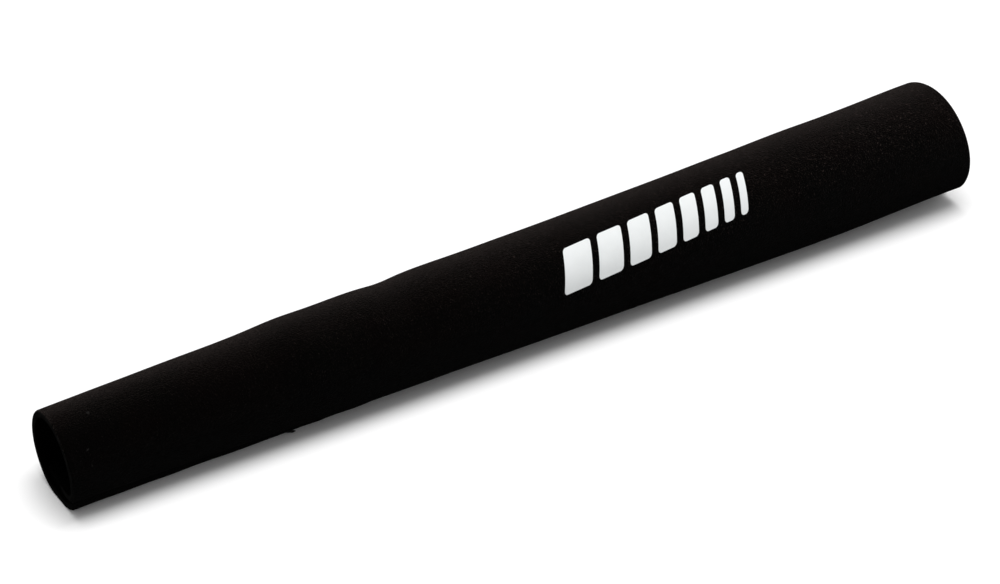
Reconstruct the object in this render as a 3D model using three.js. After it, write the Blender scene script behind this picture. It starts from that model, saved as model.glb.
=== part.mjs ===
// Chainstay protector: one trapezoid of fabric-faced neoprene, rolled lengthways into a
// tapered sleeve. Its outer flap comes down the far side, laps under its inner one along the
// bottom and ends at the lower front. A hook tape on the one holds a loop tape on the other.
// Millimetres, +X towards the large end, +Z up, front towards -Y. It lies on a flat spot.

import * as THREE from 'three';

// The neoprene sheet, cut flat.
const SLEEVE_LENGTH = 260;
const SMALL_END_CUT_WIDTH = 86;
const LARGE_END_CUT_WIDTH = 108;
const SHEET_THICKNESS = 2.2;

// The closure.
const FLAP_OVERLAP = 16;
const TAPE_WIDTH = 12;
const TAPE_THICKNESS = 0.6;
const TAPE_END_MARGIN = 4;
const LAYER_CLEARANCE = 0.3;

// How far in front of the flat spot's middle the outer flap ends, measured along the wall,
// and over what length the front wall above it steps in behind it.
const SMALL_END_FLAP_REACH = 7;
const LARGE_END_FLAP_REACH = 8;
const STEP_IN_LENGTH = 6.5;

// The closed section is a flat spot below and a wall whose bend radius varies round it.
// Spread is how much the radius varies: above zero the section is wide, below it is tall.
const SMALL_END_FLAT_WIDTH = 4;
const LARGE_END_FLAT_WIDTH = 10;
const BODY_SPREAD = 0.8;
const SMALL_END_SPREAD = -2.8;
const SMALL_END_SPREAD_LENGTH = 90;

// Two soft swells along the top, the large end's slight lift off the surface, and how far
// the middle of the sleeve bows to the far side.
const SMALL_END_SWELL_HEIGHT = 1.8;
const SMALL_END_SWELL_PLACE = -40;
const SMALL_END_SWELL_HALF_LENGTH = 50;
const LARGE_END_SWELL_HEIGHT = 1.8;
const LARGE_END_SWELL_PLACE = 67;
const LARGE_END_SWELL_HALF_LENGTH = 38;
const END_LIFT = 1.7;
const END_LIFT_LENGTH = 50;
const SIDEWAYS_BOW = 0.8;

// Mesh steps, and how far apart two places on the wall are taken to find its slope.
const STEPS_ALONG = 26;
const STEPS_ACROSS_SHEET = 54;
const STEPS_ACROSS_TAPE = 6;
const LOOP_STEPS = 360;
const SLOPE_REACH = 0.1;

const SHEET_COLOUR = 0x141313;
const TAPE_COLOUR = 0x101010;

// From the middle of one layer to the middle of the next, through both tapes.
const LAYER_STEP = SHEET_THICKNESS + 2 * TAPE_THICKNESS + 3 * LAYER_CLEARANCE;
const TAPE_OFFSET = (SHEET_THICKNESS + TAPE_THICKNESS) / 2 + LAYER_CLEARANCE;
const TAPE_SIDE_MARGIN = (FLAP_OVERLAP - TAPE_WIDTH) / 2;
const TAPE_LENGTH = SLEEVE_LENGTH - 2 * TAPE_END_MARGIN;
const CUT_SLANT = (LARGE_END_CUT_WIDTH - SMALL_END_CUT_WIDTH) / SLEEVE_LENGTH;

const { lerp, smoothstep } = THREE.MathUtils;

// A size that changes evenly from the small end to the large end.
function tapered(smallEnd, largeEnd, x) {
  return lerp(smallEnd, largeEnd, x / SLEEVE_LENGTH + 0.5);
}

function cutWidth(x) {
  return tapered(SMALL_END_CUT_WIDTH, LARGE_END_CUT_WIDTH, x);
}

function sectionSpread(x) {
  const fromSmallEnd = x + SLEEVE_LENGTH / 2;
  return lerp(SMALL_END_SPREAD, BODY_SPREAD, smoothstep(fromSmallEnd, 0, SMALL_END_SPREAD_LENGTH));
}

function topSwell(x) {
  const swell = (place, halfLength) => Math.exp(-(((x - place) / halfLength) ** 2));
  return SMALL_END_SWELL_HEIGHT * swell(SMALL_END_SWELL_PLACE, SMALL_END_SWELL_HALF_LENGTH)
    + LARGE_END_SWELL_HEIGHT * swell(LARGE_END_SWELL_PLACE, LARGE_END_SWELL_HALF_LENGTH);
}

function endLift(x) {
  return END_LIFT * smoothstep(x, SLEEVE_LENGTH / 2 - END_LIFT_LENGTH, SLEEVE_LENGTH / 2);
}

function sidewaysBow(x) {
  return SIDEWAYS_BOW * (1 - (2 * x / SLEEVE_LENGTH) ** 2);
}

// The middle line of the closed wall at one place along the sleeve, as points (y, z) and
// their distances along it. It runs from the middle of the flat spot up the far side, over
// the top and down the front back to it. Where the wall has turned by an angle, its bend radius
// is mean - lean * cos(turn) + spread * cos(2 * turn). The points are its integrals, and
// the lean is what closes the loop over a flat of this width.
function wallLoop(x) {
  const around = cutWidth(x) - FLAP_OVERLAP;
  const flat = tapered(SMALL_END_FLAT_WIDTH, LARGE_END_FLAT_WIDTH, x);
  const mean = (around - flat) / (2 * Math.PI);
  const lean = flat / Math.PI;
  const spread = sectionSpread(x);
  const height = 2 * mean - (2 / 3) * spread;
  const { sin, cos } = Math;

  const points = [new THREE.Vector2(0, 0)];
  const distances = [0];
  for (let step = 0; step <= LOOP_STEPS; step += 1) {
    const returning = step > LOOP_STEPS / 2;
    const turn = (2 * Math.PI * (returning ? LOOP_STEPS - step : step)) / LOOP_STEPS;
    const out = flat / 2 + mean * sin(turn) - lean * (turn / 2 + sin(2 * turn) / 4)
      + spread * (sin(turn) / 2 + sin(3 * turn) / 6);
    const up = mean * (1 - cos(turn)) - (lean * sin(turn) ** 2) / 2
      + spread * (cos(turn) / 2 - cos(3 * turn) / 6 - 1 / 3);
    const run = flat / 2 + mean * turn - lean * sin(turn) + (spread * sin(2 * turn)) / 2;
    const swell = topSwell(x) * (up / height) ** 2;
    points.push(new THREE.Vector2(returning ? -out : out, up + swell));
    distances.push(returning ? around - run : run);
  }
  points.push(new THREE.Vector2(0, 0));
  distances.push(around);
  return { points, distances, around };
}

// The point of a loop at a distance along it, which may run past its start or its end.
function pointOn(loop, distance) {
  const wrapped = THREE.MathUtils.euclideanModulo(distance, loop.around);
  const next = Math.max(1, loop.distances.findIndex((reached) => reached >= wrapped));
  const from = loop.distances[next - 1];
  const share = (wrapped - from) / (loop.distances[next] - from);
  return loop.points[next - 1].clone().lerp(loop.points[next], share);
}

// The unit direction out of a line at a distance along it.
function outwardOf(pointAt, distance) {
  const run = pointAt(distance + SLOPE_REACH).sub(pointAt(distance - SLOPE_REACH)).normalize();
  return new THREE.Vector2(run.y, -run.x);
}

// The middle of the rolled sheet. It is the wall's loop, until it has stepped in behind
// the outer flap to become the inner one.
function sheetMiddle(loop, reach, distance) {
  const flapEdge = loop.around - reach;
  const inset = LAYER_STEP * smoothstep(distance, flapEdge - STEP_IN_LENGTH, flapEdge + TAPE_SIDE_MARGIN);
  const outward = outwardOf((place) => pointOn(loop, place), distance);
  return pointOn(loop, distance).addScaledVector(outward, -inset);
}

// Where a point of the flat sheet lies once it is rolled. Across is measured from the outer
// flap's edge, and above from the sheet's middle towards its outer face. The straight cuts
// at the ends curve as the tapered sheet is rolled, so the flaps lie nearer the large end.
function rolled(x, across, above) {
  const width = cutWidth(x);
  const reach = tapered(SMALL_END_FLAP_REACH, LARGE_END_FLAP_REACH, x);
  const loop = wallLoop(x);
  const middleAt = (distance) => sheetMiddle(loop, reach, distance);
  const distance = across - reach;
  const place = middleAt(distance).addScaledVector(outwardOf(middleAt, distance), above);
  const endCurve = ((across - width / 2) ** 2 * CUT_SLANT) / (2 * width);
  const y = place.x + sidewaysBow(x);
  const z = place.y + SHEET_THICKNESS / 2 + endLift(x);
  return new THREE.Vector3(x + endCurve, y, z);
}

// Moves every point of a flat box to where it lies in the rolled sleeve.
function roll(box, placeInSheet) {
  const positions = box.getAttribute('position');
  const point = new THREE.Vector3();
  for (let i = 0; i < positions.count; i += 1) {
    point.fromBufferAttribute(positions, i);
    const { across, above } = placeInSheet(point);
    positions.setXYZ(i, ...rolled(point.x, across, above).toArray());
  }
  box.computeVertexNormals();
  return box;
}

function material(colour, roughness) {
  return new THREE.MeshStandardMaterial({ color: colour, roughness, metalness: 0 });
}

function neopreneSleeve() {
  const flat = new THREE.BoxGeometry(SLEEVE_LENGTH, 1, SHEET_THICKNESS, STEPS_ALONG, STEPS_ACROSS_SHEET, 1);
  const geometry = roll(flat, ({ x, y, z }) => ({ across: (0.5 - y) * cutWidth(x), above: z }));
  return new THREE.Mesh(geometry, material(SHEET_COLOUR, 0.85));
}

function tape(startAt, offset) {
  const flat = new THREE.BoxGeometry(TAPE_LENGTH, TAPE_WIDTH, TAPE_THICKNESS, STEPS_ALONG, STEPS_ACROSS_TAPE, 1);
  const geometry = roll(flat, ({ x, y, z }) => ({
    across: startAt(x) + TAPE_WIDTH / 2 - y,
    above: z + offset,
  }));
  return new THREE.Mesh(geometry, material(TAPE_COLOUR, 0.95));
}

// The hook tape is on the outer flap's inner face.
function hookTape() {
  return tape(() => TAPE_SIDE_MARGIN, -TAPE_OFFSET);
}

// The loop tape is on the inner flap's outer face.
function loopTape() {
  return tape((x) => cutWidth(x) - FLAP_OVERLAP + TAPE_SIDE_MARGIN, TAPE_OFFSET);
}

const protector = new THREE.Group();
const pieces = { neoprene_sleeve: neopreneSleeve(), hook_tape: hookTape(), loop_tape: loopTape() };
for (const [name, mesh] of Object.entries(pieces)) {
  mesh.name = name;
  protector.add(mesh);
}

// The frame's origin is under the middle of the sleeve's box.
const middle = new THREE.Box3().setFromObject(protector).getCenter(new THREE.Vector3());
protector.position.set(-middle.x, -middle.y, 0);

export default protector;
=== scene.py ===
# %% [markdown]
# A chainstay protector is a soft sleeve that wraps the right chainstay of a bicycle, so that
# the chain can't chip the paint when it slaps. It is one trapezoid of neoprene, which is a
# sponge sheet with a thin jersey knit glued to both faces, rolled lengthways and held by a
# hook tape and a loop tape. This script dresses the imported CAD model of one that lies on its
# soft flat spot, closed. All places are worked out from the sheet's flat sizes.

# %% Load the frame
import math

import bmesh
import bpy
import numpy as np
from mathutils import Matrix, Vector, noise


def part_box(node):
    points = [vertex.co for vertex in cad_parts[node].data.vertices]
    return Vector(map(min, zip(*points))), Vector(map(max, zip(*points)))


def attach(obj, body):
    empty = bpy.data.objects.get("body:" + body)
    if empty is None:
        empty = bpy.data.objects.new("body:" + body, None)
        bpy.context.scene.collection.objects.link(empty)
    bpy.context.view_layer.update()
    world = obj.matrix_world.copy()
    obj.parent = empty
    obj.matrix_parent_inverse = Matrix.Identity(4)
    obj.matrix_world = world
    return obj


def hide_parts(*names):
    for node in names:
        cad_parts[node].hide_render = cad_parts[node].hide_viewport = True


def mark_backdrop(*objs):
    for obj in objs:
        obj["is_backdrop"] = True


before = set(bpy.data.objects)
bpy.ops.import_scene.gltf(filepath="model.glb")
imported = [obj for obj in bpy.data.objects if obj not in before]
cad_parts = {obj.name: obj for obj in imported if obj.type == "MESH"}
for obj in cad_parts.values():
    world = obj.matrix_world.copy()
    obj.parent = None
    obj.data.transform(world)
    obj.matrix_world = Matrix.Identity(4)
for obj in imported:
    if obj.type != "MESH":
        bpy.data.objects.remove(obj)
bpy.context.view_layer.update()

MM = 0.001

# %% [markdown]
# The photograph was taken from the front left, 36 degrees above the table, with a long
# lens. The camera comes first, because every later choice of detail depends on how many
# pixels a millimetre gets: about four here. Its place is given by two angles and a distance
# from a point in the middle of the sleeve, and by two small steps sideways and up that put
# the sleeve where it is in the picture. These can be read and changed, where a bare matrix
# could not.

# %% Camera
PICTURE_WIDTH = 1000
SENSOR_WIDTH = 36
FOCAL_LENGTH_IN_PIXELS = 2907
CAMERA_TURN = math.radians(31.5)
CAMERA_FALL = math.radians(36)
CAMERA_DISTANCE = 734 * MM
CAMERA_SIDE_STEP = -6.44 * MM
CAMERA_UP_STEP = -2.14 * MM
LOOK_AT = Vector((0, 0, 14 * MM))


def place_camera():
    """Sets a camera that looks at the sleeve from the front left and above."""
    lens = bpy.data.cameras.new("camera")
    lens.sensor_width = SENSOR_WIDTH
    lens.lens = FOCAL_LENGTH_IN_PIXELS * SENSOR_WIDTH / PICTURE_WIDTH
    level = math.cos(CAMERA_FALL)
    left, near = math.sin(CAMERA_TURN) * level, math.cos(CAMERA_TURN) * level
    back = Vector((-left, -near, math.sin(CAMERA_FALL)))
    turn = back.to_track_quat("Z", "Y")
    side_step = turn @ Vector((CAMERA_SIDE_STEP, CAMERA_UP_STEP, 0))
    camera = bpy.data.objects.new("camera", lens)
    camera.location = LOOK_AT + back * CAMERA_DISTANCE + side_step
    camera.rotation_mode = "QUATERNION"
    camera.rotation_quaternion = turn
    bpy.context.scene.collection.objects.link(camera)
    bpy.context.scene.camera = camera
    return camera


camera = place_camera()
camera_place = [round(v / MM) for v in camera.location]
print("camera", round(camera.data.lens, 1), "mm lens at", camera_place, "mm")

# %% [markdown]
# A rolled sheet is easiest to describe flat. Each point of it has a place along the sleeve,
# a place across from the outer flap's free edge, and a height above the sheet's middle.
# The sizes here are the maker's flat pattern and how it is rolled up, in millimetres, and
# they repeat what the CAD model was built from.

# %% The flat pattern
SLEEVE_LENGTH = 260
SMALL_END_CUT_WIDTH = 86
LARGE_END_CUT_WIDTH = 108
SHEET_THICKNESS = 2.2
FLAP_OVERLAP = 16
TAPE_WIDTH = 12
TAPE_THICKNESS = 0.6
TAPE_END_MARGIN = 4
LAYER_CLEARANCE = 0.3

LAYER_STEP = SHEET_THICKNESS + 2 * TAPE_THICKNESS + 3 * LAYER_CLEARANCE
TAPE_OFFSET = (SHEET_THICKNESS + TAPE_THICKNESS) / 2 + LAYER_CLEARANCE
TAPE_SIDE_MARGIN = (FLAP_OVERLAP - TAPE_WIDTH) / 2
TAPE_LENGTH = SLEEVE_LENGTH - 2 * TAPE_END_MARGIN
CUT_SLANT = (LARGE_END_CUT_WIDTH - SMALL_END_CUT_WIDTH) / SLEEVE_LENGTH


def smoothstep(value, start, end):
    """Rises softly from 0 at the start to 1 at the end."""
    share = np.clip((value - start) / (end - start), 0, 1)
    return share * share * (3 - 2 * share)


def tapered(small_end, large_end, x):
    """A size that changes evenly from the small end to the large end."""
    return small_end + (large_end - small_end) * (x / SLEEVE_LENGTH + 0.5)


def cut_width(x):
    """How wide the flat sheet is at x."""
    return tapered(SMALL_END_CUT_WIDTH, LARGE_END_CUT_WIDTH, x)


print("flat sheet", SLEEVE_LENGTH, "mm long and",
      SMALL_END_CUT_WIDTH, "to", LARGE_END_CUT_WIDTH, "mm wide")

# %% [markdown]
# Soft foam doesn't close to a perfect circle. Its wall has a bend radius that changes round
# the section: flat where it lies on the table, wider or taller where it was pressed. The
# wall's line is the integral of that radius, so its length always stays the flat sheet's
# length, as cloth's does. Two swells along the top, one narrow notch and four faint ripples
# give the upper outline its slow waves, and the whole sleeve bows a little to the far side.
# Each wave is a height, a place along the sleeve and a half length.

# %% The closed wall
SMALL_END_FLAP_REACH = 7
LARGE_END_FLAP_REACH = 8
STEP_IN_LENGTH = 6.5
SMALL_END_FLAT_WIDTH = 4
LARGE_END_FLAT_WIDTH = 10
BODY_SPREAD = 0.8
SMALL_END_SPREAD = -2.8
SMALL_END_SPREAD_LENGTH = 90
SMALL_END_SWELL = (1.8, -40, 50)
LARGE_END_SWELL = (1.8, 67, 38)
NOTCH = (-0.6, -37, 5)
RIPPLES = ((0.65, -66, 8), (0.25, 18, 14), (-0.34, 65.5, 16.7), (0.55, 89.7, 14.9))
END_LIFT = 1.7
END_LIFT_LENGTH = 50
SIDEWAYS_BOW = 0.6
SIDEWAYS_SWING = -0.8
LOOP_STEPS = 720
SLOPE_REACH = 0.25


def top_swell(x):
    """How far the top stands above its plain height."""
    waves = (SMALL_END_SWELL, LARGE_END_SWELL, NOTCH, *RIPPLES)
    return sum(height * math.exp(-((x - place) / half_length) ** 2)
               for height, place, half_length in waves)


def wall_loop(x):
    """Distances, y and z of the wall's middle line, from the flat spot up the far side."""
    around = cut_width(x) - FLAP_OVERLAP
    flat = tapered(SMALL_END_FLAT_WIDTH, LARGE_END_FLAT_WIDTH, x)
    mean = (around - flat) / (2 * math.pi)
    lean = flat / math.pi
    round_small_end = smoothstep(x + SLEEVE_LENGTH / 2, 0, SMALL_END_SPREAD_LENGTH)
    spread = SMALL_END_SPREAD + (BODY_SPREAD - SMALL_END_SPREAD) * round_small_end
    turn = np.linspace(0, math.pi, LOOP_STEPS)
    sin, cos = np.sin, np.cos
    out = flat / 2 + mean * sin(turn) - lean * (turn / 2 + sin(2 * turn) / 4)
    out = out + spread * (sin(turn) / 2 + sin(3 * turn) / 6)
    up = mean * (1 - cos(turn)) - lean * sin(turn) ** 2 / 2
    up = up + spread * (cos(turn) / 2 - cos(3 * turn) / 6 - 1 / 3)
    up = up + top_swell(x) * (up / up.max()) ** 2
    run = flat / 2 + mean * turn - lean * sin(turn) + spread * sin(2 * turn) / 2
    distance = np.concatenate([[0], run, around - run[-2::-1], [around]])
    y = np.concatenate([[0], out, -out[-2::-1], [0]])
    z = np.concatenate([[0], up, up[-2::-1], [0]])
    return distance, y, z


def point_on(loop, distance):
    """Points of a loop at distances that may run past its start or its end."""
    reached, y, z = loop
    wrapped = np.mod(distance, reached[-1])
    return np.stack([np.interp(wrapped, reached, y), np.interp(wrapped, reached, z)], axis=-1)


def outward_of(point_at, distance):
    """The unit direction out of a line at distances along it."""
    run = point_at(distance + SLOPE_REACH) - point_at(distance - SLOPE_REACH)
    run = run / np.linalg.norm(run, axis=-1, keepdims=True)
    return np.stack([run[..., 1], -run[..., 0]], axis=-1)


def rolled_station(x, across, above):
    """Rolls points that share one place along the sleeve."""
    loop = wall_loop(x)
    width = cut_width(x)
    reach = tapered(SMALL_END_FLAP_REACH, LARGE_END_FLAP_REACH, x)
    flap_edge = loop[0][-1] - reach

    def middle_at(distance):
        stepped_in = flap_edge + TAPE_SIDE_MARGIN
        inset = LAYER_STEP * smoothstep(distance, flap_edge - STEP_IN_LENGTH, stepped_in)
        outward = outward_of(lambda place: point_on(loop, place), distance)
        return point_on(loop, distance) - outward * inset[..., None]

    distance = across - reach
    place = middle_at(distance) + outward_of(middle_at, distance) * above[..., None]
    end_curve = (across - width / 2) ** 2 * CUT_SLANT / (2 * width)
    bow = SIDEWAYS_BOW + SIDEWAYS_SWING * x / SLEEVE_LENGTH
    y = place[..., 0] + bow * (1 - (2 * x / SLEEVE_LENGTH) ** 2)
    lift = END_LIFT * smoothstep(x, SLEEVE_LENGTH / 2 - END_LIFT_LENGTH, SLEEVE_LENGTH / 2)
    return np.stack([x + end_curve, y, place[..., 1] + SHEET_THICKNESS / 2 + lift], axis=-1)


print("wall round the small end", cut_width(-SLEEVE_LENGTH / 2) - FLAP_OVERLAP, "mm")

# %% [markdown]
# A foam sheet that was rolled by hand is never quite even. A slow noise moves the wall by
# a tenth of a millimetre or two, which the light then shows as faint, soft unevenness. It
# stays away from the two flaps, where the layers lie close, and from the flat spot. Only
# the outer flap's edge stands out a little towards the small end. The noise is read at
# fixed places, so every run gives the same sleeve.

# %% Rolling the sheet
STATION_STEP = 0.5
UNEVEN_HEIGHT = 0.22
UNEVEN_LENGTH = 17
UNEVEN_START = 30
UNEVEN_END = 26
UNEVEN_FADE = 8
FLAP_EDGE_STAND = 0.25
FLAP_EDGE_WIDTH = 4.5
NOISE_LEVEL = 0.5


def unevenness(x, across):
    """How far a point of the wall stands out of its smooth place."""
    from_inner_flap = cut_width(x) - across
    inside = smoothstep(across, UNEVEN_START - UNEVEN_FADE, UNEVEN_START)
    inside = inside * smoothstep(from_inner_flap, UNEVEN_END, UNEVEN_END + UNEVEN_FADE)
    places = zip(x / UNEVEN_LENGTH, across / UNEVEN_LENGTH)
    value = np.array([noise.noise((a, b, NOISE_LEVEL)) for a, b in places])
    near_edge = np.exp(-(across / FLAP_EDGE_WIDTH) ** 2)
    edge_stand = FLAP_EDGE_STAND * near_edge * smoothstep(-x, 0, SLEEVE_LENGTH / 3)
    return UNEVEN_HEIGHT * inside * value + edge_stand


def rolled(flat):
    """Rolls points (along, across, above) of the flat sheet up. In and out are millimetres."""
    along, across, above = np.array(flat, dtype=float).T
    above = above + unevenness(along, across)
    low = np.floor(along / STATION_STEP)
    share = (along / STATION_STEP - low)[:, None]
    result = np.zeros((len(along), 3))
    for step in (0, 1):
        weight = share if step else 1 - share
        stations = low + step
        for station in np.unique(stations):
            here = stations == station
            points = rolled_station(station * STATION_STEP, across[here], above[here])
            result[here] += weight[here] * points
    return result


def centre_on_frame():
    """How far the rolled sheet is moved so that its box has the CAD sleeve's middle."""
    along, across = np.meshgrid(np.linspace(-0.5, 0.5, 27), np.linspace(0, 1, 109))
    along = along.ravel() * SLEEVE_LENGTH
    across = across.ravel() * cut_width(along)
    heights = [np.full_like(along, side * SHEET_THICKNESS / 2) for side in (-1, 1)]
    flats = [np.stack([along, across, above], axis=-1) for above in heights]
    points = np.concatenate([rolled(flat) for flat in flats])
    low, high = (np.array(corner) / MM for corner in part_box("neoprene_sleeve"))
    shift = (low + high - points.min(axis=0) - points.max(axis=0)) / 2
    return np.array([shift[0], shift[1], 0])


CENTRE_SHIFT = centre_on_frame()
print("moved onto the frame by", CENTRE_SHIFT.round(2), "mm")

# %% [markdown]
# Every sewn or cut part of the sleeve starts as a flat shape, gets its thickness and its
# soft edges there, and is rolled last. That is the order in which the real one is made.
# One helper does the rolling for all of them, and it keeps the flat place of each point as
# a UV map in metres, so that a knit or a weave has its real scale and follows the cloth.

# %% Helpers that make a piece
SHARP_ANGLE = 1.0


def flat_plate(length, width, steps_along, steps_across, thickness, steps_through=1):
    """A flat plate as a closed bmesh round the origin, made of a grid that is extruded down."""
    mesh = bmesh.new()
    bmesh.ops.create_grid(mesh, x_segments=steps_along, y_segments=steps_across, size=0.5)
    bmesh.ops.scale(mesh, verts=mesh.verts, vec=(length, width, 1))
    sides = mesh.faces[:]
    down = bmesh.ops.extrude_face_region(mesh, geom=sides)
    moved = [item for item in down["geom"] if isinstance(item, bmesh.types.BMVert)]
    bmesh.ops.translate(mesh, verts=moved, vec=(0, 0, -thickness))
    bmesh.ops.translate(mesh, verts=mesh.verts, vec=(0, 0, thickness / 2))
    for cut in range(1, steps_through):
        height = thickness * (cut / steps_through - 0.5)
        everything = mesh.verts[:] + mesh.edges[:] + mesh.faces[:]
        bmesh.ops.bisect_plane(mesh, geom=everything, plane_co=(0, 0, height), plane_no=(0, 0, 1))
    bmesh.ops.recalc_face_normals(mesh, faces=mesh.faces)
    return mesh


def sharp_edges(mesh):
    """The edges at which two faces meet at a sharp angle."""
    whole = [edge for edge in mesh.edges if edge.is_manifold]
    return [edge for edge in whole if edge.calc_face_angle() > SHARP_ANGLE]


def soften(mesh, radius, segments=2):
    """Rounds all sharp edges of a flat shape."""
    bmesh.ops.bevel(mesh, geom=sharp_edges(mesh), offset=radius, offset_type="OFFSET",
                    segments=segments, profile=0.5, affect="EDGES", material=-1, clamp_overlap=True)


def roll_up(name, mesh, flat_place, materials, shift_above=None):
    """Rolls a flat bmesh into the sleeve and makes it a piece, with its flat place as a UV map."""
    own = np.array([vertex.co for vertex in mesh.verts])
    flat = flat_place(own)
    uv_layer = mesh.loops.layers.uv.new("flat")
    mesh.verts.index_update()
    for edge in sharp_edges(mesh):
        edge.smooth = False
    for face in mesh.faces:
        face.smooth = True
        for loop in face.loops:
            along, across, _ = flat[loop.vert.index]
            loop[uv_layer].uv = (along * MM, across * MM)
    bent = flat.copy()
    if shift_above is not None:
        bent[:, 2] += shift_above(flat)
    for vertex, place in zip(mesh.verts, rolled(bent)):
        vertex.co = Vector((place + CENTRE_SHIFT) * MM)
    data = bpy.data.meshes.new(name)
    mesh.to_mesh(data)
    mesh.free()
    piece = bpy.data.objects.new(name, data)
    for material in materials:
        data.materials.append(material)
    bpy.context.scene.collection.objects.link(piece)
    print(name, len(data.polygons), "faces")
    return piece


# %% [markdown]
# Shader maths reads best as plain sums. This small class wraps a socket, so that an
# expression on values builds the Math nodes for it. Everything else goes through one
# method that takes a node's type, its settings and what goes into its sockets.

# %% Shader maths
class Value:
    """A socket that carries a number, for sums written as Python expressions."""

    def __init__(self, recipe, socket):
        self.recipe = recipe
        self.socket = socket

    def maths(self, operation, first, second=None, clamp=False):
        settings = {"operation": operation, "use_clamp": clamp}
        inputs = {0: first} if second is None else {0: first, 1: second}
        return self.recipe.node("ShaderNodeMath", settings, inputs)

    def __add__(self, other):
        return self.maths("ADD", self, other)

    def __sub__(self, other):
        return self.maths("SUBTRACT", self, other)

    def __mul__(self, other):
        return self.maths("MULTIPLY", self, other)

    def __truediv__(self, other):
        return self.maths("DIVIDE", self, other)

    def __pow__(self, other):
        return self.maths("POWER", self, other)

    def __radd__(self, other):
        return self.maths("ADD", other, self)

    def __rsub__(self, other):
        return self.maths("SUBTRACT", other, self)

    def __rmul__(self, other):
        return self.maths("MULTIPLY", other, self)

    def sine(self):
        return self.maths("SINE", self)

    def fraction(self):
        return self.maths("FRACT", self)

    def size(self):
        return self.maths("ABSOLUTE", self)

    def clamped(self):
        return self.maths("ADD", self, 0.0, clamp=True)


class Recipe:
    """One material: its nodes are added by name, and its surface is a Principled shader."""

    def __init__(self, name):
        self.material = bpy.data.materials.new(name)
        self.material.use_nodes = True
        self.tree = self.material.node_tree
        self.shader = self.tree.nodes["Principled BSDF"]

    def node(self, kind, settings=None, inputs=None, output=0):
        """Adds a node with its settings and its sockets, and returns one of its outputs."""
        node = self.tree.nodes.new(kind)
        for key, value in (settings or {}).items():
            setattr(node, key, value)
        self.feed(node, inputs or {})
        return Value(self, node.outputs[output])

    def feed(self, node, inputs):
        """Links each socket to a wrapped one, or sets its value."""
        for key, value in inputs.items():
            if isinstance(value, Value):
                self.tree.links.new(value.socket, node.inputs[key])
            else:
                node.inputs[key].default_value = value

    def feed_shader(self, shader, inputs):
        """Sets a shader's sockets. A name's underscores stand for spaces."""
        self.feed(shader, {key.replace("_", " "): value for key, value in inputs.items()})

    def surface(self, **inputs):
        """Makes the material's surface from one set of shader sockets."""
        self.feed_shader(self.shader, inputs)
        return self.material

    def mixed_surface(self, share, first, changes):
        """Mixes a surface with one that differs from it by some changed sockets."""
        self.feed_shader(self.shader, first)
        other = self.tree.nodes.new("ShaderNodeBsdfPrincipled")
        self.feed_shader(other, {**first, **changes})
        mix = self.node("ShaderNodeMixShader", inputs={0: share})
        links = self.tree.links
        links.new(self.shader.outputs[0], mix.socket.node.inputs[1])
        links.new(other.outputs[0], mix.socket.node.inputs[2])
        links.new(mix.socket, self.tree.nodes["Material Output"].inputs[0])
        return self.material

    def object_place(self):
        """The point's place in the object's own axes."""
        return self.node("ShaderNodeTexCoord", output=3)

    def flat_place(self):
        """The point's place along and across the flat sheet, in metres."""
        uv = self.node("ShaderNodeUVMap", {"uv_map": "flat"})
        split = self.node("ShaderNodeSeparateXYZ", inputs={0: uv})
        return split, Value(self, split.socket.node.outputs[1])

    def noise(self, scale, detail=2.0, roughness=0.5):
        """A noise of 0 to 1 with about so many waves in a metre."""
        inputs = {"Scale": scale, "Detail": detail, "Roughness": roughness}
        return self.node("ShaderNodeTexNoise", inputs={**inputs, "Vector": self.object_place()})

    def blend(self, share, first, second):
        """Mixes two colours by a share."""
        settings = {"data_type": "RGBA", "blend_type": "MIX", "clamp_factor": True}
        return self.node("ShaderNodeMix", settings, {0: share, 6: first, 7: second}, output=2)

    def bump(self, height, depth):
        """A normal from a height, of which 1 is a depth in metres."""
        inputs = {"Height": height, "Distance": depth, "Strength": 1.0}
        return self.node("ShaderNodeBump", inputs=inputs)


print("shader helpers are ready")

# %% [markdown]
# The face of the neoprene is a black nylon jersey. A jersey's face shows columns of small V
# stitches, about 0.5 mm wide and 0.4 mm high here. Geometry for 120,000 stitches would be
# far too heavy, so they are a height pattern in the material, read from the flat UV map:
# each column has two slanted legs, and each leg is a round yarn. The gaps between the yarns
# are darker, which is painted shade, and a slow noise makes the dye and the nap a little
# uneven, because an even black looks like plastic. The nap's pale grains grow from the small
# end to the large one. The top has a soft warm sheen. The lower front gets a copy of that
# finish with less sheen, a neutral tint and fewer pale grains, mixed in by the place across
# the sheet: painted shade that darkens it. A noise becomes spots when a level is taken off
# it and the rest is made steep and clamped.

# %% Jersey knit
COLUMN_WIDTH = 0.5 * MM
STITCH_HEIGHT = 0.4 * MM
STITCH_SLANT = 1.3
YARN_DEPTH = 0.2 * MM
WANDER_SCALE = 420
COLUMN_WANDER = 0.35
ROW_WANDER = 0.5
LEG_ROUNDNESS = 0.6
YARN_ROUNDNESS = 0.7

PATCH_SCALE = 65
PATCH_LEVEL = 0.4
PATCH_STEEPNESS = 5
GRAIN_SCALE = 1800
GRAIN_ROUGHNESS = 0.65
GRAIN_LEVEL = 0.58
GRAIN_STEEPNESS = 8
FIBRE_SCALE = 3100
FIBRE_LEVEL = 0.48
FIBRE_STEEPNESS = 6

KNIT_WARM_BLACK = (0.0012, 0.0006, 0.0005, 1)
KNIT_COLD_BLACK = (0.0004, 0.0005, 0.0004, 1)
# Darker gaps between the yarns: painted shade.
KNIT_GAP_PAINTED_SHADE = (0.0001, 0.0001, 0.0001, 1)
KNIT_NAP_BLACK = (0.1500, 0.1100, 0.0970, 1)
TOP_GLOSS_TINT = (1.0, 0.81, 0.76, 1)
# The lower front's neutral gloss tint is part of its painted shade.
PAINTED_SHADE_GLOSS_TINT = (0.88, 0.87, 0.87, 1)
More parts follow.
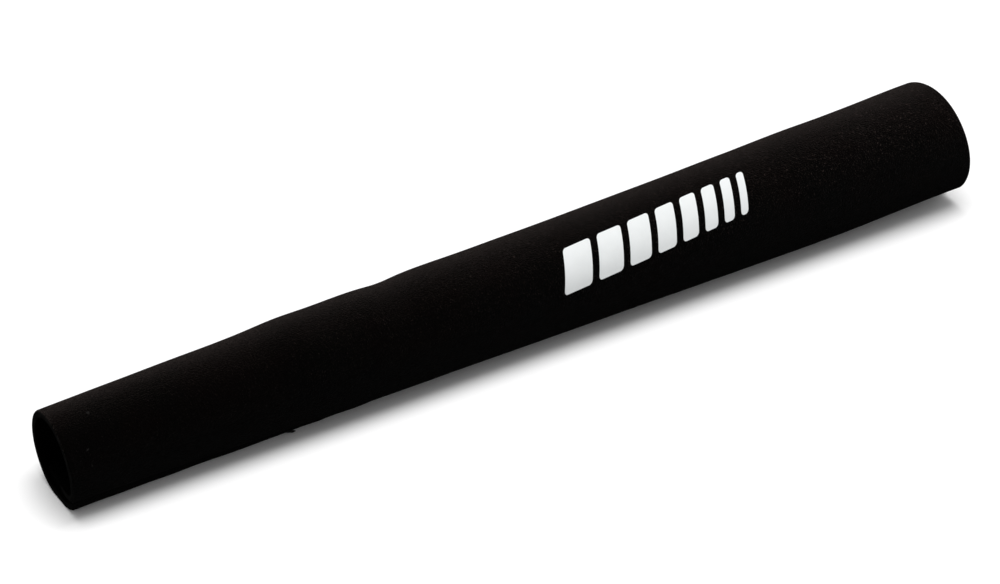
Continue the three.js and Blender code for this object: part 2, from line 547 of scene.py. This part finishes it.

# Where the lower front's painted shade starts: the place across of the sleeve's top, how
# that place shifts along the tapered sheet, and how far down the front it starts and fades in.
TOP_LINE = 48 * MM
TOP_LINE_SLANT = 12 / SLEEVE_LENGTH
TOP_HALF_WIDTH = 7 * MM
TOP_FADE = 10 * MM
# The sheen and the pale grains that the lower front keeps: painted shade.
PAINTED_SHADE_SHEEN_SHARE = 0.5
PAINTED_SHADE_NAP_SHARE = 0.3
LEAST_NAP = 0.04
NAP_GROWTH = 1.5

KNIT_ROUGHNESS = 0.76
ROUGHNESS_CHANGE = 0.12
SHEEN_ROUGHNESS = 0.22
STITCH_RELIEF = 0.7
GRAIN_RELIEF = 2
FIBRE_RELIEF = 2.6


def stitch_height(recipe):
    """The jersey's height, from 0 in the gaps to 1 on the yarns."""
    along, across = recipe.flat_place()
    wander = recipe.noise(WANDER_SCALE, detail=1.0) - 0.5
    column = across / COLUMN_WIDTH + wander * COLUMN_WANDER
    row = along / STITCH_HEIGHT + wander * ROW_WANDER
    side = (column.fraction() - 0.5).size()
    leg = (side * (2 * math.pi)).sine().size()
    yarn = ((row + side * STITCH_SLANT) * math.pi).sine().size()
    return leg ** LEG_ROUNDNESS * yarn ** YARN_ROUNDNESS


def painted_shade_share(along, across):
    """How much painted shade of the lower front a place has: 0 along the top, 1 on the lower front.
    """
    past_top = across - along * TOP_LINE_SLANT - (TOP_LINE + TOP_HALF_WIDTH)
    return (past_top / TOP_FADE).clamped()


def knit_material(name, reflection, sheen):
    """Black jersey: dyed yarn with painted shade in its gaps, and the raised nap of its fine
    fibres.
    """
    recipe = Recipe(name)
    height = stitch_height(recipe)
    patches = recipe.noise(PATCH_SCALE, detail=3.0)
    grain = recipe.noise(GRAIN_SCALE, detail=2.0, roughness=GRAIN_ROUGHNESS)
    fibres = recipe.noise(FIBRE_SCALE, detail=1.0)
    along, across = recipe.flat_place()
    # low is how much painted shade of the lower front a place gets.
    low = painted_shade_share(along, across)
    share_along = along / (SLEEVE_LENGTH * MM) + 0.5

    warm = ((patches - PATCH_LEVEL) * PATCH_STEEPNESS).clamped()
    nap = ((grain - GRAIN_LEVEL) * GRAIN_STEEPNESS).clamped()
    nap = nap * ((fibres - FIBRE_LEVEL) * FIBRE_STEEPNESS).clamped()
    nap = nap * (LEAST_NAP + (1 - LEAST_NAP) * share_along ** NAP_GROWTH)
    # Fewer pale grains on the lower front: painted shade.
    nap = nap * (1 - (1 - PAINTED_SHADE_NAP_SHARE) * low)
    yarn = recipe.blend(nap, recipe.blend(warm, KNIT_COLD_BLACK, KNIT_WARM_BLACK), KNIT_NAP_BLACK)
    relief = height * STITCH_RELIEF + (grain - 0.5) * GRAIN_RELIEF + (fibres - 0.5) * FIBRE_RELIEF

    top_finish = dict(
        Base_Color=recipe.blend(height, KNIT_GAP_PAINTED_SHADE, yarn),
        Roughness=KNIT_ROUGHNESS + (patches - 0.5) * ROUGHNESS_CHANGE,
        Normal=recipe.bump(relief, YARN_DEPTH),
        Specular_IOR_Level=reflection,
        Specular_Tint=TOP_GLOSS_TINT,
        Sheen_Weight=sheen,
        Sheen_Roughness=SHEEN_ROUGHNESS,
        Sheen_Tint=TOP_GLOSS_TINT,
    )
    # The lower front's copy of the finish, with less sheen and a neutral tint: painted shade.
    shaded_front_changes = dict(
        Specular_Tint=PAINTED_SHADE_GLOSS_TINT,
        Sheen_Weight=sheen * PAINTED_SHADE_SHEEN_SHARE,
        Sheen_Tint=PAINTED_SHADE_GLOSS_TINT,
    )
    return recipe.mixed_surface(low, top_finish, shaded_front_changes)


knit = knit_material("black_jersey_knit", reflection=0.026, sheen=0.063)
# The inner faces get the jersey with almost no sheen or reflection: painted shade inside the
# sleeve.
inner_knit_painted_shade = knit_material("inner_jersey_painted_shade", reflection=0.01, sheen=0.005)
print("jersey with columns of", COLUMN_WIDTH / MM, "mm")

# %% [markdown]
# At a cut edge the knit stops and the sponge between the two knits is bare. Its bubbles are
# cut open, so it is a very matt charcoal with tiny pits, darker in their middles, which is
# painted shade. A Voronoi pattern gives the pits, because its cells touch as bubbles do.

# %% Cut foam edge
PIT_SIZE = 0.28 * MM
PIT_DEPTH = 0.12 * MM
PIT_STEEPNESS = 1.5
FOAM_CHARCOAL = (0.0060, 0.0060, 0.0058, 1)
# Darker middles of the foam's pits: painted shade.
FOAM_PIT_PAINTED_SHADE = (0.0010, 0.0010, 0.0010, 1)


def foam_material():
    """The open sponge at a cut edge."""
    recipe = Recipe("cut_neoprene_foam")
    inputs = {"Scale": 1 / PIT_SIZE, "Vector": recipe.object_place()}
    cell = recipe.node("ShaderNodeTexVoronoi", {"feature": "F1"}, inputs)
    rim = (cell * PIT_STEEPNESS).clamped()
    colour = recipe.blend(rim, FOAM_PIT_PAINTED_SHADE, FOAM_CHARCOAL)
    return recipe.surface(Base_Color=colour, Roughness=0.97, Specular_IOR_Level=0.03,
                          Normal=recipe.bump(rim, PIT_DEPTH))


foam = foam_material()
print("foam pits of", PIT_SIZE / MM, "mm")

# %% [markdown]
# The sleeve itself is a flat plate with a grid fine enough to bend smoothly. Its edges are
# rounded a little, because the cutting die presses the knit down over the foam. The inner
# flap's cut edge gets the inner jersey's finish instead of the foam, painted shade that keeps
# it black inside the mouth. Four rows of stitches hold the two tapes, and each pulls the soft
# sheet into a shallow groove that is deepest at the needle's holes, so the grooves are made in
# the mesh before it is rolled.

# %% Neoprene sleeve
SHEET_STEPS_ALONG = 262
SHEET_STEPS_ACROSS = 116
SHEET_STEPS_THROUGH = 4
PLATE_WIDTH = (SMALL_END_CUT_WIDTH + LARGE_END_CUT_WIDTH) / 2
OUTER_FACE, CUT_EDGE, INNER_FACE = 0, 1, 2
FLATTEST_CUT = 0.2
CUT_EDGE_RADIUS = 0.7
FOAM_ROUGH_HEIGHT = 0.07
FOAM_ROUGH_LENGTH = 1.6
RAGGED_HEIGHT = 0.8
RAGGED_LENGTH = 7
RAGGED_REACH = 2.5
SEAM_INSET = 1.3
STITCH_PITCH = 2.8
GROOVE_DEPTH = 0.24
PUCKER_DEPTH = 0.1
GROOVE_HALF_WIDTH = 0.9
SEAM_PLACES = (TAPE_SIDE_MARGIN + SEAM_INSET, TAPE_SIDE_MARGIN + TAPE_WIDTH - SEAM_INSET)


def groove(flat):
    """How far the sewn seams pull the sheet's outer or inner face in."""
    along, across, above = flat.T
    from_inner_edge = cut_width(along) - across
    sewn = smoothstep(TAPE_LENGTH / 2 - np.abs(along), 0, STITCH_PITCH)
    depth = GROOVE_DEPTH + PUCKER_DEPTH * np.cos(2 * math.pi * along / STITCH_PITCH)
    pull = np.zeros(len(along))
    for place in SEAM_PLACES:
        outer = np.exp(-((across - place) / GROOVE_HALF_WIDTH) ** 2) * (above > 0)
        inner = np.exp(-((from_inner_edge - place) / GROOVE_HALF_WIDTH) ** 2) * (above < 0)
        pull += inner - outer
    return pull * sewn * depth


def sheet_place(own):
    """A plate's points as places on the tapered sheet, whose outer flap was cut unevenly."""
    along, y, above = own.T
    across = (0.5 - y / PLATE_WIDTH) * cut_width(along)
    wander = [noise.noise((place, NOISE_LEVEL, NOISE_LEVEL)) for place in along / RAGGED_LENGTH]
    across = across + RAGGED_HEIGHT * np.array(wander) * np.exp(-across / RAGGED_REACH)
    return np.stack([along, across, above], axis=-1)


def roughen_cut(mesh):
    """Moves the bare foam at the cut edges in and out by a few hundredths of a millimetre."""
    bare = SHEET_THICKNESS / 2 - CUT_EDGE_RADIUS
    for vertex in mesh.verts:
        if abs(vertex.co.z) < bare:
            step = noise.noise(vertex.co / FOAM_ROUGH_LENGTH) * FOAM_ROUGH_HEIGHT
            outward = vertex.normal
            vertex.co += Vector((outward.x, outward.y, 0)) * step


def finish_of(face):
    """Which of the sheet's three finishes a face has. The inner flap's cut edge gets the inner
    jersey instead of foam, which is painted shade.
    """
    on_inner_flap = face.calc_center_median().y <= FLAP_OVERLAP - PLATE_WIDTH / 2
    # The inner flap's cut edge keeps the inner jersey instead of foam: painted shade.
    if abs(face.normal.z) < FLATTEST_CUT and not on_inner_flap:
        return CUT_EDGE
    return OUTER_FACE if face.normal.z > FLATTEST_CUT else INNER_FACE


def neoprene_sleeve():
    """The whole sheet: grooved, roughened at its cut edges and rolled up."""
    mesh = flat_plate(SLEEVE_LENGTH, PLATE_WIDTH, SHEET_STEPS_ALONG, SHEET_STEPS_ACROSS,
                      SHEET_THICKNESS, SHEET_STEPS_THROUGH)
    soften(mesh, CUT_EDGE_RADIUS, segments=4)
    mesh.normal_update()
    roughen_cut(mesh)
    for face in mesh.faces:
        face.material_index = finish_of(face)
    return roll_up("sleeve_sheet", mesh, sheet_place, [knit, foam, inner_knit_painted_shade], shift_above=groove)


sleeve = neoprene_sleeve()

# %% [markdown]
# The two tapes are narrow woven nylon. Only their long edges and their ends can be seen, in
# the gap under the outer flap, so each is a thin plate with a woven ground, darker between its
# threads, which is painted shade. Their hooks and loops are too fine to be seen, so a noise
# over the weave stands for that pile.

# %% Hook tape and loop tape
TAPE_BLACK = (0.006, 0.006, 0.0063, 1)
# Darker between the weave's threads: painted shade, mixed with the pile's random tone.
TAPE_GAP_PAINTED_SHADE = (0.002, 0.002, 0.002, 1)
WEAVE_PITCH = 0.45 * MM
WEAVE_DEPTH = 0.12 * MM
PILE_SCALE = 2600
TAPE_STEPS_ALONG = 180
TAPE_STEPS_ACROSS = 12


def tape_material(name, weave_share):
    """A plain weave: threads along and across take turns on top, with a pile over them."""
    recipe = Recipe(name)
    along, across = recipe.flat_place()
    warp = (along * (math.pi / WEAVE_PITCH)).sine()
    weft = (across * (math.pi / WEAVE_PITCH)).sine()
    height = (warp * weft).size()
    pile = recipe.noise(PILE_SCALE, detail=1.0)
    tone = height * weave_share + pile * (1 - weave_share)
    return recipe.surface(Base_Color=recipe.blend(tone, TAPE_GAP_PAINTED_SHADE, TAPE_BLACK), Roughness=0.8,
                          Specular_IOR_Level=0.1, Normal=recipe.bump(height + pile, WEAVE_DEPTH))


def tape(name, start_at, offset, material):
    """A tape whose first edge lies at start_at(along) across the sheet."""
    mesh = flat_plate(TAPE_LENGTH, TAPE_WIDTH, TAPE_STEPS_ALONG, TAPE_STEPS_ACROSS, TAPE_THICKNESS)
    soften(mesh, TAPE_THICKNESS / 4)

    def tape_place(own):
        along, y, above = own.T
        return np.stack([along, start_at(along) + TAPE_WIDTH / 2 - y, above + offset], axis=-1)

    return roll_up(name, mesh, tape_place, [material])


def inner_flap_start(along):
    """Where the loop tape starts on the inner flap."""
    return cut_width(along) - FLAP_OVERLAP + TAPE_SIDE_MARGIN


hook_tape = tape("woven_hook_tape", lambda along: TAPE_SIDE_MARGIN, -TAPE_OFFSET,
                 tape_material("black_hook_tape", weave_share=0.6))
loop_tape = tape("woven_loop_tape", inner_flap_start, TAPE_OFFSET,
                 tape_material("black_loop_tape", weave_share=0.3))

# %% [markdown]
# A lockstitch shows as a row of short, plump stitches that dive into the sheet at each
# needle hole and lean a little to one side. One stitch is a small sphere drawn out along
# the seam, and it is repeated, with few faces, because there are several hundred of them.

# %% Stitches
STITCH_LENGTH = 2.5
THREAD_THICKNESS = 0.42
STITCH_LEAN = math.radians(7)
PLY_PITCH = 0.35 * MM
PLY_DEPTH = 0.05 * MM
THREAD_BLACK = (0.008, 0.008, 0.0083, 1)
# Darker between the thread's plies: painted shade.
THREAD_GAP_PAINTED_SHADE = (0.004, 0.004, 0.004, 1)


def thread_material():
    """Twisted polyester: fine slanted plies with a dull gloss, darker between the plies, which is
    painted shade.
    """
    recipe = Recipe("black_sewing_thread")
    along, across = recipe.flat_place()
    ply = ((along + across) * (2 * math.pi / PLY_PITCH)).sine() * 0.5 + 0.5
    colour = recipe.blend(ply, THREAD_GAP_PAINTED_SHADE, THREAD_BLACK)
    return recipe.surface(Base_Color=colour, Roughness=0.6, Specular_IOR_Level=0.15,
                          Normal=recipe.bump(ply, PLY_DEPTH))


def add_ball(mesh, place, turn, size):
    """Adds a small ball, drawn out to a size and then turned, and returns its vertices."""
    matrix = Matrix.Translation(place) @ turn @ Matrix.Diagonal((*size, 1))
    return bmesh.ops.create_uvsphere(mesh, u_segments=8, v_segments=6, radius=0.5,
                                     matrix=matrix)["verts"]


def stitch_rows(name, across_at, above, material):
    """Two rows of stitches along a tape's edges. Above is the height of the seam's groove."""
    mesh = bmesh.new()
    count = int(TAPE_LENGTH / STITCH_PITCH) - 1
    lean = Matrix.Rotation(STITCH_LEAN, 4, "Z")
    size = (STITCH_LENGTH, THREAD_THICKNESS, THREAD_THICKNESS)
    for seam in SEAM_PLACES:
        for index in range(count):
            along = (index - (count - 1) / 2) * STITCH_PITCH
            add_ball(mesh, (along, across_at(along, seam), above), lean, size)
    bmesh.ops.reverse_faces(mesh, faces=mesh.faces)
    return roll_up(name, mesh, lambda own: own, [material])


thread = thread_material()
seam_height = SHEET_THICKNESS / 2 - GROOVE_DEPTH + THREAD_THICKNESS / 4
outer_stitches = stitch_rows("outer_flap_stitches", lambda along, seam: seam, seam_height, thread)
inner_stitches = stitch_rows("inner_flap_stitches", lambda along, seam: cut_width(along) - seam,
                             -seam_height, thread)

# %% [markdown]
# No sewn thing is perfectly clean. Two short thread ends stick out of the outer flap's cut
# edge, and a few specks of lint lie on the sleeve near its small end. Each is a stretched
# ball like a stitch, placed on the flat sheet where the photograph shows it.

# %% Stray fibres
LOOSE_END_PLACE = -72
LOOSE_END_ABOVE = 1.05
LOOSE_END_THICKNESS = 0.6
LINT_THICKNESS = 0.2
LINT_SCALE = 2500
LINT_GREY = (0.014, 0.013, 0.012, 1)
LINT_SHADE = (0.006, 0.006, 0.006, 1)

# A thread end's length and turn, and a speck's places along and across, length, width and
# turn. Turns are in degrees.
LOOSE_ENDS = ((2.8, -13), (1.9, -24))
SPECKS = ((-121, 45.3, 0.9, 0.7, 40), (-124.5, 52.7, 0.9, 0.4, -20), (-124.5, 56.4, 0.9, 0.35, 80))


def lint_material():
    """Matt grey fluff."""
    recipe = Recipe("grey_lint")
    colour = recipe.blend(recipe.noise(LINT_SCALE, detail=1.0), LINT_SHADE, LINT_GREY)
    return recipe.surface(Base_Color=colour, Roughness=0.9, Specular_IOR_Level=0.03)


def stray_fibres():
    """The two thread ends and the specks of lint, as one piece with two finishes."""
    mesh = bmesh.new()
    for length, turn in LOOSE_ENDS:
        size = (length, LOOSE_END_THICKNESS, LOOSE_END_THICKNESS)
        tilt = Matrix.Rotation(math.radians(turn), 4, "Y")
        add_ball(mesh, (LOOSE_END_PLACE, 0, LOOSE_END_ABOVE), tilt, size)
    on_face = SHEET_THICKNESS / 2 + LINT_THICKNESS / 4
    for along, across, length, width, turn in SPECKS:
        spin = Matrix.Rotation(math.radians(turn), 4, "Z")
        speck = add_ball(mesh, (along, across, on_face), spin, (length, width, LINT_THICKNESS))
        for face in {face for vertex in speck for face in vertex.link_faces}:
            face.material_index = 1
    bmesh.ops.reverse_faces(mesh, faces=mesh.faces)
    return roll_up("stray_fibres", mesh, lambda own: own, [thread, lint_material()])


fibres = stray_fibres()

# %% [markdown]
# A plain print breaks up the black front. It is a row of slanted bars that get narrower
# towards the large end, in off-white transfer ink. Ink that is pressed on with heat is a
# thin film with crisp edges, so each bar is a thin plate of its own with small round
# corners. It is cut into strips so that it can bend with the wall.

# %% Print
PRINT_PLACE = 34
PRINT_ACROSS = 59.1
PRINT_HEIGHT = 10
PRINT_SLANT = 0.42
BAR_COUNT = 8
WIDEST_BAR = 8.2
BAR_NARROWING = 0.85
BAR_WIDTHS = [WIDEST_BAR - BAR_NARROWING * index for index in range(BAR_COUNT)]
BAR_GAP = 2.1
BAR_CORNER = 0.9
CORNER_SHARE = 2.2
INK_PATCH_SCALE = 300
INK_ROUGHNESS = 0.55
INK_RELIEF = 0.03 * MM
FILM_THICKNESS = 0.09
FILM_CLEARANCE = 0.04
FILM_STEP = 1.0
INK_WHITE = (0.80, 0.82, 0.82, 1)
# Darker where the knit's gaps lie under the ink, which is painted shade, and in random patches.
INK_PAINTED_SHADE_AND_TONE = (0.66, 0.68, 0.68, 1)


def ink_material():
    """Off-white transfer ink. The knit below shows through as a faint grain: darker in the knit's
    gaps, which is painted shade, and in random patches.
    """
    recipe = Recipe("off_white_print")
    height = stitch_height(recipe)
    patches = recipe.noise(INK_PATCH_SCALE, detail=3.0)
    colour = recipe.blend((height * 0.5 + patches * 0.5 + 0.15).clamped(), INK_PAINTED_SHADE_AND_TONE, INK_WHITE)
    rough = INK_ROUGHNESS + patches * 0.15
    return recipe.surface(Base_Color=colour, Roughness=rough, Specular_IOR_Level=0.3,
                          Normal=recipe.bump(height, INK_RELIEF))


def bar(width):
    """One bar's flat mesh data: a rounded rectangle, cut into strips, thickened and slanted."""
    mesh = bmesh.new()
    bmesh.ops.create_grid(mesh, x_segments=1, y_segments=1, size=0.5)
    bmesh.ops.scale(mesh, verts=mesh.verts, vec=(width, PRINT_HEIGHT, 1))
    corner = min(BAR_CORNER, width / CORNER_SHARE)
    bmesh.ops.bevel(mesh, geom=mesh.verts[:], offset=corner, offset_type="OFFSET", segments=4,
                    profile=0.5, affect="VERTICES", material=-1)
    top_edge = PRINT_HEIGHT / 2
    for cut in np.arange(-top_edge + FILM_STEP, top_edge, FILM_STEP):
        everything = mesh.verts[:] + mesh.edges[:] + mesh.faces[:]
        bmesh.ops.bisect_plane(mesh, geom=everything, plane_co=(0, cut, 0), plane_no=(0, 1, 0))
    top = bmesh.ops.extrude_face_region(mesh, geom=mesh.faces[:])["geom"]
    raised = [item for item in top if isinstance(item, bmesh.types.BMVert)]
    bmesh.ops.translate(mesh, verts=raised, vec=(0, 0, FILM_THICKNESS))
    bmesh.ops.recalc_face_normals(mesh, faces=mesh.faces)
    for vertex in mesh.verts:
        vertex.co.x += vertex.co.y * PRINT_SLANT
    data = bpy.data.meshes.new("bar")
    mesh.to_mesh(data)
    mesh.free()
    return data


def plain_print():
    """All bars side by side in one piece, on the front of the sleeve."""
    mesh = bmesh.new()
    total = sum(BAR_WIDTHS) + BAR_GAP * (len(BAR_WIDTHS) - 1)
    start = -total / 2
    for width in BAR_WIDTHS:
        data = bar(width)
        data.transform(Matrix.Translation((start + width / 2, 0, 0)))
        mesh.from_mesh(data)
        bpy.data.meshes.remove(data)
        start += width + BAR_GAP

    def print_place(own):
        along, y, above = own.T
        on_face = above + SHEET_THICKNESS / 2 + FILM_CLEARANCE
        return np.stack([along + PRINT_PLACE, PRINT_ACROSS - y, on_face], axis=-1)

    return roll_up("plain_bar_print", mesh, print_place, [ink_material()])


bar_print = plain_print()

# %% [markdown]
# A product photograph has a white table that runs on past the picture, and it is exposed so
# that the faint outer part of the shadow is lost in white. The floor is one large plane.
# Camera rays see it as white and all other rays see it as near black, so it takes the
# sleeve's soft shadow, while the underside of the black cloth stays dark.

# %% Floor
FLOOR_SIZE = 6
FLOOR_COLOUR = (0.02, 0.02, 0.02, 1)
FLOOR_SEEN_COLOUR = (0.94, 0.94, 0.94, 1)


def table_floor():
    """One large plane that catches the shadow."""
    recipe = Recipe("white_table")
    seen = recipe.node("ShaderNodeLightPath", output=0)
    colour = recipe.blend(seen, FLOOR_COLOUR, FLOOR_SEEN_COLOUR)
    recipe.surface(Base_Color=colour, Roughness=0.9, Specular_IOR_Level=0.0)
    mesh = bmesh.new()
    bmesh.ops.create_grid(mesh, x_segments=1, y_segments=1, size=FLOOR_SIZE / 2)
    data = bpy.data.meshes.new("table_floor")
    mesh.to_mesh(data)
    mesh.free()
    data.materials.append(recipe.material)
    floor = bpy.data.objects.new("table_floor", data)
    bpy.context.scene.collection.objects.link(floor)
    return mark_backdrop(floor)


table_floor()
print("floor of", FLOOR_SIZE, "m")

# %% [markdown]
# The light in the photograph comes from a large soft box above: the top of the sleeve has
# a lighter band, its front is nearly black, and the shadow is short and soft. A large lamp
# gives that. An even grey world adds the light of a studio's white walls, and keeps the
# shadow from being black.

# %% Light
LAMP_SIZE = 1.7
LAMP_PLACE = Vector((0.08, -0.18, 2.6))
LAMP_POWER = 60
WORLD_STRENGTH = 0.5


def soft_box():
    """A large lamp that points at the sleeve."""
    light = bpy.data.lights.new("soft_box", "AREA")
    light.shape = "SQUARE"
    light.size = LAMP_SIZE
    light.energy = LAMP_POWER
    lamp = bpy.data.objects.new("soft_box", light)
    lamp.location = LAMP_PLACE
    lamp.rotation_mode = "QUATERNION"
    lamp.rotation_quaternion = LAMP_PLACE.to_track_quat("Z", "Y")
    bpy.context.scene.collection.objects.link(lamp)


def white_world():
    """An even grey that lights the sleeve, and white where the camera looks past the floor."""
    world = bpy.data.worlds.new("white_world")
    world.use_nodes = True
    bpy.context.scene.world = world
    nodes, links = world.node_tree.nodes, world.node_tree.links
    rays = nodes.new("ShaderNodeLightPath")
    mix = nodes.new("ShaderNodeMix")
    mix.data_type = "FLOAT"
    mix.inputs[2].default_value = WORLD_STRENGTH
    mix.inputs[3].default_value = 1
    links.new(rays.outputs["Is Camera Ray"], mix.inputs[0])
    background = nodes["Background"]
    background.inputs["Color"].default_value = (1, 1, 1, 1)
    links.new(mix.outputs[0], background.inputs["Strength"])


soft_box()
white_world()
bpy.context.scene.view_settings.view_transform = "Standard"
print("lamp of", LAMP_POWER, "W and a world of", WORLD_STRENGTH)

# %% [markdown]
# Last, each piece says which body carries it, which plain CAD solid it stands for and which
# finish of the record it has.

# %% Bodies and replaced solids
pieces = {
    sleeve: ("neoprene", ["neoprene_sleeve"]),
    hook_tape: ("hook_tape", ["hook_tape"]),
    loop_tape: ("loop_tape", ["loop_tape"]),
    outer_stitches: ("thread", []),
    inner_stitches: ("thread", []),
    fibres: ("thread", []),
    bar_print: ("print", []),
}
for piece, (slot, replaced) in pieces.items():
    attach(piece, "root")
    if replaced:
        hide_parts(*replaced)
